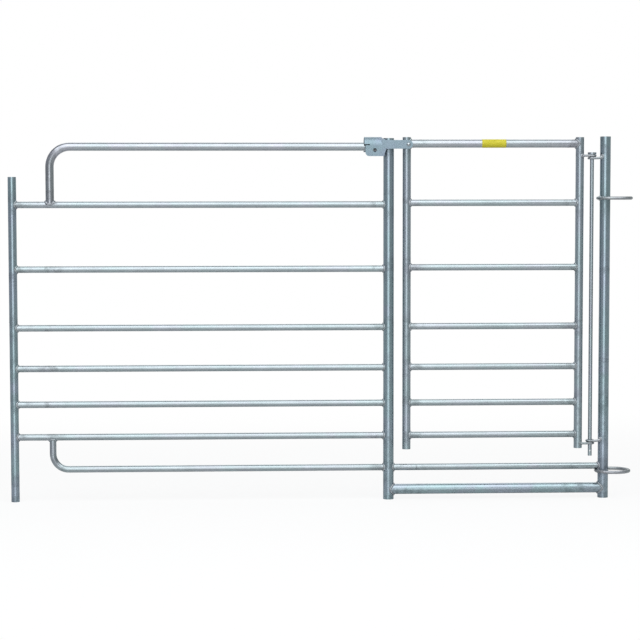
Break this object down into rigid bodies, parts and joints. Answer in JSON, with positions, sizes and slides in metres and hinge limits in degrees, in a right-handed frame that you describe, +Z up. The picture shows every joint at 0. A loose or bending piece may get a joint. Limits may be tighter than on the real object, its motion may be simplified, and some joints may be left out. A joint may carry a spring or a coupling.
{
  "type": "sheep hurdle with gate",
  "caption": "Galvanised tubular sheep hurdle with bent top and bottom rails and a hung gate in one end, closed by a lift-over latch and coupled to its neighbours by post and rings.",
  "frame": {"origin": "centre of the latch post's foot, on the ground", "axes": "+X along the hurdle from the plug post towards the hinge post and its coupling rings, +Y away from the side that the latch plate is on, +Z up"},
  "size_m": [1.8763, 0.098, 1.095],
  "materials": {
    "tube": "hot-dip galvanised tube, satin with fine spangle",
    "bar": "hot-dip galvanised round bar, duller than the tubes",
    "plate": "galvanised pressed plate, satin",
    "label": "plain yellow film, unprinted"
  },
  "bodies": {
    "hurdle": {"plug_post": "tube", "latch_post": "tube", "hinge_post": "tube", "top_rail": "tube", "rail_1": "tube", "rail_2": "tube", "rail_3": "tube", "rail_4": "tube", "rail_5": "tube", "rail_6": "tube", "bottom_rail": "tube", "threshold_rail": "tube", "sill_rail": "tube", "upper_ring": "bar", "lower_ring": "bar", "upper_post_eye": "bar", "lower_post_eye": "bar", "hinge_rod": "bar"},
    "gate": {"gate_latch_stile": "tube", "gate_hinge_stile": "tube", "gate_top_rail": "tube", "gate_rail_1": "tube", "gate_rail_2": "tube", "gate_rail_3": "tube", "gate_rail_4": "tube", "gate_rail_5": "tube", "gate_rail_6": "tube", "upper_gate_eye": "bar", "lower_gate_eye": "bar", "latch_pivot": "plate"},
    "latch": {"latch_lever": "plate"}
  },
  "joints": [
    {"name": "gate_swing", "type": "hinge", "parent": "hurdle", "child": "gate", "pos_m": [0.6145, 0, 0.6], "axis": [0, 0, 1], "range_deg": [-100, 100]},
    {"name": "latch_lift", "type": "hinge", "parent": "gate", "child": "latch", "pos_m": [0.058, -0.023, 1.071], "axis": [0, 1, 0], "range_deg": [0, 150]}
  ]
}
